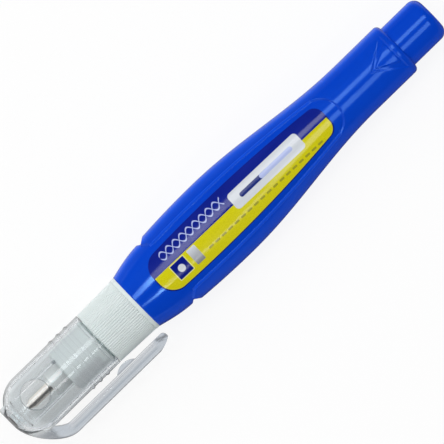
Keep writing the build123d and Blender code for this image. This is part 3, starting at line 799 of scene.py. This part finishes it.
def clearMaterial(name, look):  # smooth outside, hazy bore, grey through its depth
    material, tree, shader = freshMaterial(name)
    skin = useGroup(tree, mouldedSkin, look["skin"])
    x, y, z = penPlace(tree)
    far = lengthOf(tree, y, z)
    bore = before(tree, far, look["innerRadius"], boreSoft)
    haze = times(tree, minus(tree, look["innerRough"], skin["Roughness"]), bore)
    tree.links.new(calc(tree, "ADD", skin["Roughness"], haze), shader.inputs["Roughness"])
    colour = blendColours(tree, skin["Flow"], look["deep"], look["pale"])
    if look is capLook:
        colour = clipTones(tree, colour, x, y, far)
        colour = wallTones(tree, colour, x, far)
        colour = windowTones(tree, colour, x, y, z)
    tree.links.new(colour, shader.inputs["Base Color"])
    addBump(tree, shader, skin["Grain"], look["bump"], plasticDepth)
    setInputs(shader, {"Transmission Weight": 1.0, "IOR": look["bend"], "Coat Weight": 1.0,
                       "Coat Roughness": coatRough})
    depth = addNode(tree, "ShaderNodeVolumeAbsorption")
    setInputs(depth, {"Color": look["absorb"], "Density": look["density"]})
    tree.links.new(depth.outputs[0], tree.nodes["Material Output"].inputs["Volume"])
    return material


def makeCap():  # the cap's shape with every edge rounded a little
    k = capLook
    work = bmesh.new()
    work.from_mesh(nodes["cap"].data)
    bmesh.ops.remove_doubles(work, verts=work.verts, dist=mergeGap)
    flat, sharp = math.radians(k["flatAngle"]), math.radians(k["sharpAngle"])
    bmesh.ops.dissolve_limit(work, angle_limit=flat, verts=work.verts, edges=work.edges)

    def roundEdges(clipEdges, amount, steps):
        chosen = []
        for e in work.edges:
            reach = min(math.hypot(v.co.y - axisY * mm, v.co.z - axisZ * mm) for v in e.verts) / mm
            run = abs(e.verts[0].co.x - e.verts[1].co.x)
            lengthwise = run > k["clipStraight"] * e.calc_length()
            onClip = reach > k["clipReach"] and lengthwise and e.calc_length() > k["clipEdge"] * mm
            if e.calc_face_angle(0) > sharp and onClip == clipEdges:
                chosen.append(e)
        bmesh.ops.bevel(work, geom=chosen, offset=amount * mm, segments=steps, profile=0.5, affect="EDGES",
                        clamp_overlap=not clipEdges)
        return len(chosen)

    print("edges rounded:", roundEdges(False, k["edgeRound"], k["edgeSteps"]))
    print("clip edges rounded:", roundEdges(True, k["clipRound"], k["clipSteps"]))
    bmesh.ops.triangulate(work, faces=work.faces)
    bmesh.ops.recalc_face_normals(work, faces=work.faces)
    mesh = bpy.data.meshes.new("clearCap")
    work.to_mesh(mesh)
    openEdges = sum(1 for e in work.edges if len(e.link_faces) != 2)
    work.free()
    mesh.shade_smooth()
    mesh.materials.append(clearMaterial("clearCap", k))
    source = addObject("capSource", mesh)
    even = source.modifiers.new("even", "WEIGHTED_NORMAL")
    even.weight = k["evenWeight"]
    even.keep_sharp = True
    built = plainMesh(source, "clearCap")
    cap = addObject("clearCap", built)
    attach(cap, "cap")
    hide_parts("cap")
    print("clear cap:", len(built.polygons), "faces, open edges", openEdges)


makeCap()
dress("inner_cap", clearMaterial("clearSleeve", sleeveLook))
print("cap and sleeve made")


# ribs of the collar
ribLook = {  # millimetres
    "count": 76, "frontRadius": 7.55, "rearRadius": 7.85, "height": 0.2, "halfWidth": 0.23, "sunk": 0.12,
    "bandLength": 1.0, "mouthGap": 0.2, "taper": 0.3, "rise": (0.35, 0.85), "middle": (3, 6, 9),
    "arcPoints": 9,
}


def ribMesh():  # one rounded rib on the axis, its front end tapered
    k = ribLook
    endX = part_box("collar")[1].x / mm - k["bandLength"]
    startX = capMouthX + k["mouthGap"]
    length, half = endX - startX, k["halfWidth"]
    stations = [0, k["taper"] / 2, k["taper"], *k["middle"], length - k["taper"], length]
    rise = [*k["rise"]] + [1] * (len(stations) - len(k["rise"]))
    turns = np.linspace(0, math.pi, k["arcPoints"])
    rings = []
    for along, share in zip(stations, rise):
        x = startX + along
        base = k["frontRadius"] + (k["rearRadius"] - k["frontRadius"]) * along / length - k["height"]
        ring = [(x, base + k["height"] * share * math.sin(a), half * math.cos(a)) for a in turns]
        ring += [(x, base - k["sunk"], -half), (x, base - k["sunk"], half)]
        rings.append(ring)
    return meshFromRings("ribSource", np.array(rings) * mm)


def makeRibs():  # the rib repeated round the collar
    group = bpy.data.node_groups.new("ribsRound", "GeometryNodeTree")
    face = group.interface
    face.new_socket("Geometry", in_out="INPUT", socket_type="NodeSocketGeometry")
    countSocket = face.new_socket("Rib Count", in_out="INPUT", socket_type="NodeSocketInt")
    centreSocket = face.new_socket("Centre", in_out="INPUT", socket_type="NodeSocketVector")
    finishSocket = face.new_socket("Finish", in_out="INPUT", socket_type="NodeSocketMaterial")
    face.new_socket("Geometry", in_out="OUTPUT", socket_type="NodeSocketGeometry")
    given = addNode(group, "NodeGroupInput")
    result = addNode(group, "NodeGroupOutput")
    points = addNode(group, "GeometryNodePoints")
    index = addNode(group, "GeometryNodeInputIndex")
    turn = addNode(group, "ShaderNodeCombineXYZ")
    repeat = addNode(group, "GeometryNodeInstanceOnPoints")
    real = addNode(group, "GeometryNodeRealizeInstances")
    finish = addNode(group, "GeometryNodeSetMaterial")
    step = calc(group, "DIVIDE", 2 * math.pi, given.outputs["Rib Count"])
    link = group.links.new
    link(given.outputs["Rib Count"], points.inputs["Count"])
    link(given.outputs["Centre"], points.inputs["Position"])
    link(times(group, index.outputs[0], step), turn.inputs["X"])
    link(points.outputs[0], repeat.inputs["Points"])
    link(given.outputs["Geometry"], repeat.inputs["Instance"])
    link(turn.outputs[0], repeat.inputs["Rotation"])
    link(repeat.outputs[0], real.inputs["Geometry"])
    link(real.outputs[0], finish.inputs["Geometry"])
    link(given.outputs["Finish"], finish.inputs["Material"])
    link(finish.outputs[0], result.inputs["Geometry"])
    rib = addObject("ribSource", ribMesh())
    modifier = rib.modifiers.new("ribs", "NODES")
    modifier.node_group = group
    modifier[countSocket.identifier] = ribLook["count"]
    modifier[centreSocket.identifier] = (0.0, axisY * mm, axisZ * mm)
    modifier[finishSocket.identifier] = nodes["collar"].data.materials[0]
    mesh = plainMesh(rib, "collarRibs")
    ribs = addObject("collarRibs", mesh)
    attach(ribs, "pen")
    print("collar ribs:", len(mesh.polygons), "faces")


makeRibs()


# floor, light and camera
floorLook = {  # spans in millimetres across the pen (Y) or along it (X)
    "half": 4.0, "drop": 0.05 * mm, "tone": (0.95, 0.95, 0.95, 1), "rough": 0.9, "shine": 0.1,
    "glow": 0.88, "bounce": 2.0, "bounceShare": 0.5,
    "underAcross": (-4.0, 3.0), "paintedShadowLevels": (0.50, 0.72),  # painted shadow: the floor seen through the cap, darker away from the key
    # painted light: the floor brighter through the cap's edges and near its crown
    "clearAcross": (6.3, 7.9), "crownAlong": (-69.0, -63.0), "crownLevels": (0.92, 0.45),
    "frontAlong": (-73.5, -70.2), "frontLevels": (0.6, 0.02),  # seen mirrored in the pen
    # painted light: a glowing strip beside the pen on +Y that lights its lit edge and shows in its gloss
    "besideRise": (8.0, 11.0), "besideFall": (14.0, 34.0), "besideLevel": 0.5,
}
worldLook = {  # spans are directions, from -1 to 1
    "fill": 0.34, "sideFill": 0.22, "sideFrom": (-0.8, 0.0),
    "brightFrom": (-0.05, 0.3), "darkShare": 0.68, "darkAlong": (0.25, 0.6), "darkAbove": (0.12, 0.3),
    "mirrorBase": 0.01, "mirrorSide": 0.03, "frontFrom": (-0.7, -0.3), "frontLevel": 0.6,
}
everyRay = ("diffuse", "glossy", "transmission")
lampLook = {  # degrees from straight up, positive towards +Y; a span is start, end (metres) and level
    "keyStrip": {"angle": 15.5, "distance": 0.85, "width": 0.24, "seenBy": everyRay, "spans": [
        (-0.80, -0.075, 3.2), (-0.075, -0.030, 1.7), (-0.030, -0.014, 6.2), (-0.014, 0.010, 3.0),
        (0.010, 0.030, 2.3), (0.030, 0.062, 1.2), (0.062, 0.080, 0.7), (0.080, 0.80, 3.2)]},
    "farStrip": {"angle": -25.5, "distance": 0.85, "width": 0.066, "seenBy": ("diffuse", "glossy"),
                 "spans": [(-0.058, -0.030, 4.0), (-0.030, 0.034, 3.6)]},
    "farFill": {"angle": -25.5, "distance": 0.85, "width": 0.066, "seenBy": ("diffuse",), "spans": [
        (-0.80, -0.058, 3.6)]},
    "shineCap": {"angle": -22.0, "distance": 0.84, "width": 0.12, "seenBy": ("glossy",), "spans": [
        (-0.086, -0.060, 6.0)]},
    "shineNeck": {"angle": 13.4, "distance": 0.84, "width": 0.20, "seenBy": ("glossy",), "bottleOnly": True,
                  "spans": [(-0.120, -0.100, 4.0), (-0.100, -0.085, 7.0), (-0.085, -0.052, 10.5)]},
    "shineNeckFar": {"angle": -26.0, "distance": 0.84, "width": 0.10, "seenBy": ("glossy",),
                     "bottleOnly": True, "spans": [(-0.150, -0.118, 3.0), (-0.118, -0.060, 11.0)]},
    "shineTail": {"angle": 15.5, "distance": 0.84, "width": 0.24, "seenBy": ("glossy",), "spans": [
        (0.056, 0.082, 2.2)]},
    "shineTailFar": {"angle": -21.5, "distance": 0.85, "width": 0.28, "seenBy": ("glossy",), "spans": [
        (0.034, 0.054, 0.5), (0.054, 0.10, 2.5), (0.10, 0.40, 2.5)]},
    "keySoft": {"angle": 50.0, "distance": 1.1, "width": 0.9, "seenBy": ("diffuse",), "spans": [
        (-0.6, 0.6, 1.35)]},
}
cameraLook = {
    "lens": 600.0, "sensor": 36.0, "turn": -44.29, "imageSize": 444, "pixelsPerMm": 4.19,
    "photoCentre": (-0.398, 0.263), "clip": (0.01, 50),
}


def makeFloor():  # white to the camera, pale to the light, with its own levels in gloss and through the cap: a painted shadow under the cap, glowing patches seen mirrored in the pen, and a glow for bounced light
    k = floorLook
    half, drop = k["half"], -k["drop"]
    mesh = bpy.data.meshes.new("floor")
    corners = [(-half, -half, drop), (half, -half, drop), (half, half, drop), (-half, half, drop)]
    mesh.from_pydata(corners, [], [(0, 1, 2, 3)])
    addObject("floor", mesh)
    material, tree, shader = freshMaterial("paleFloor")
    setInputs(shader, {"Base Color": k["tone"], "Roughness": k["rough"], "Specular IOR Level": k["shine"]})
    ray = addNode(tree, "ShaderNodeLightPath").outputs
    scale = (1 / mm, 1 / mm, 1 / mm)
    x, y = split(tree, addMapping(tree, placeOf(tree), Scale=scale))[:2]

    # painted shadow under the cap for rays through it, lighter at the cap's edges and crown
    under = remap(tree, y, *k["underAcross"], *k["paintedShadowLevels"])
    clear = remap(tree, calc(tree, "ABSOLUTE", y), *k["clearAcross"])
    crown = remap(tree, x, *k["crownAlong"], *k["crownLevels"])
    through = times(tree, largest(tree, under, clear, crown), ray["Is Transmission Ray"])
    mirrored = remap(tree, x, *k["frontAlong"], *k["frontLevels"])
    beside = remap(tree, y, *k["besideRise"], 0.0, k["besideLevel"])
    beside = times(tree, beside, fade(tree, y, *k["besideFall"]))
    lift = times(tree, ray["Is Diffuse Ray"], k["bounce"])
    glow = addNode(tree, "ShaderNodeEmission")
    strength = largest(tree, ray["Is Camera Ray"], through, mirrored, beside, lift)
    tree.links.new(strength, glow.inputs["Strength"])

    shown = largest(tree, ray["Is Camera Ray"], ray["Is Glossy Ray"], ray["Is Transmission Ray"])
    lifted = times(tree, ray["Is Diffuse Ray"], k["bounceShare"])
    mix = addNode(tree, "ShaderNodeMixShader")
    tree.links.new(largest(tree, times(tree, shown, k["glow"]), lifted), mix.inputs[0])
    tree.links.new(shader.outputs[0], mix.inputs[1])
    tree.links.new(glow.outputs[0], mix.inputs[2])
    tree.links.new(mix.outputs[0], tree.nodes["Material Output"].inputs["Surface"])
    mesh.materials.append(material)


def makeWorld():  # white to the camera, soft fill, dark on one side and bright on the other through the cap
    k = worldLook
    world = bpy.data.worlds.new("studio")
    scene.world = world
    world.use_nodes = True
    tree = world.node_tree
    back = tree.nodes["Background"]
    ray = addNode(tree, "ShaderNodeLightPath").outputs
    x, y, z = split(tree, placeOf(tree, "Generated"))
    bright = remap(tree, y, *k["brightFrom"])
    front = times(tree, fade(tree, x, *k["frontFrom"]), k["frontLevel"])
    mirror = calc(tree, "ADD", times(tree, bright, k["mirrorSide"]), k["mirrorBase"])
    glossy = times(tree, calc(tree, "ADD", mirror, front), ray["Is Glossy Ray"])
    abreast = fade(tree, calc(tree, "ABSOLUTE", x), *k["darkAlong"])
    above = times(tree, remap(tree, z, *k["darkAbove"]), abreast)
    dark = times(tree, above, minus(tree, 1.0, bright), k["darkShare"])
    through = times(tree, minus(tree, 1.0, dark), ray["Is Transmission Ray"])
    plain = calc(tree, "ADD", remap(tree, y, *k["sideFrom"], k["sideFill"], 0.0), k["fill"])
    plain = times(tree, plain, ray["Is Diffuse Ray"])
    tree.links.new(largest(tree, through, glossy, plain, ray["Is Camera Ray"]), back.inputs["Strength"])
    back.inputs["Color"].default_value = (1, 1, 1, 1)


def makeLamps():
    bottleOnly = bpy.data.collections.new("bottleOnly")
    bottleOnly.objects.link(bpy.data.objects["bottleShell"])
    for name, k in lampLook.items():
        lean = math.radians(k["angle"])
        side, up = k["distance"] * math.sin(lean), k["distance"] * math.cos(lean)
        for i, (start, end, level) in enumerate(k["spans"]):
            lamp = bpy.data.lights.new("%s%d" % (name, i), "AREA")
            lamp.shape = "RECTANGLE"
            lamp.size, lamp.size_y = end - start, k["width"]
            lamp.energy = level * math.pi * (end - start) * k["width"]
            holder = addObject(lamp.name, lamp)
            holder.location = ((start + end) / 2, axisY * mm + side, axisZ * mm + up)
            holder.rotation_euler = (-lean, 0, 0)
            for ray in everyRay:
                setattr(holder, "visible_" + ray, ray in k["seenBy"])
            if k.get("bottleOnly"):
                holder.light_linking.receiver_collection = bottleOnly


def makeCamera():
    k = cameraLook
    data = bpy.data.cameras.new("camera")
    data.lens = k["lens"]
    data.sensor_width = k["sensor"]
    data.clip_start, data.clip_end = k["clip"]
    frameWidth = k["imageSize"] / k["pixelsPerMm"] * mm
    holder = addObject("camera", data)
    x, y = k["photoCentre"]
    holder.location = (x * mm, y * mm, axisZ * mm + frameWidth * k["lens"] / k["sensor"])
    holder.rotation_euler = (0, 0, math.radians(k["turn"]))
    scene.camera = holder


makeFloor()
makeWorld()
makeLamps()
makeCamera()
scene.view_settings.view_transform = "Standard"
print("stage, lamps and camera set")
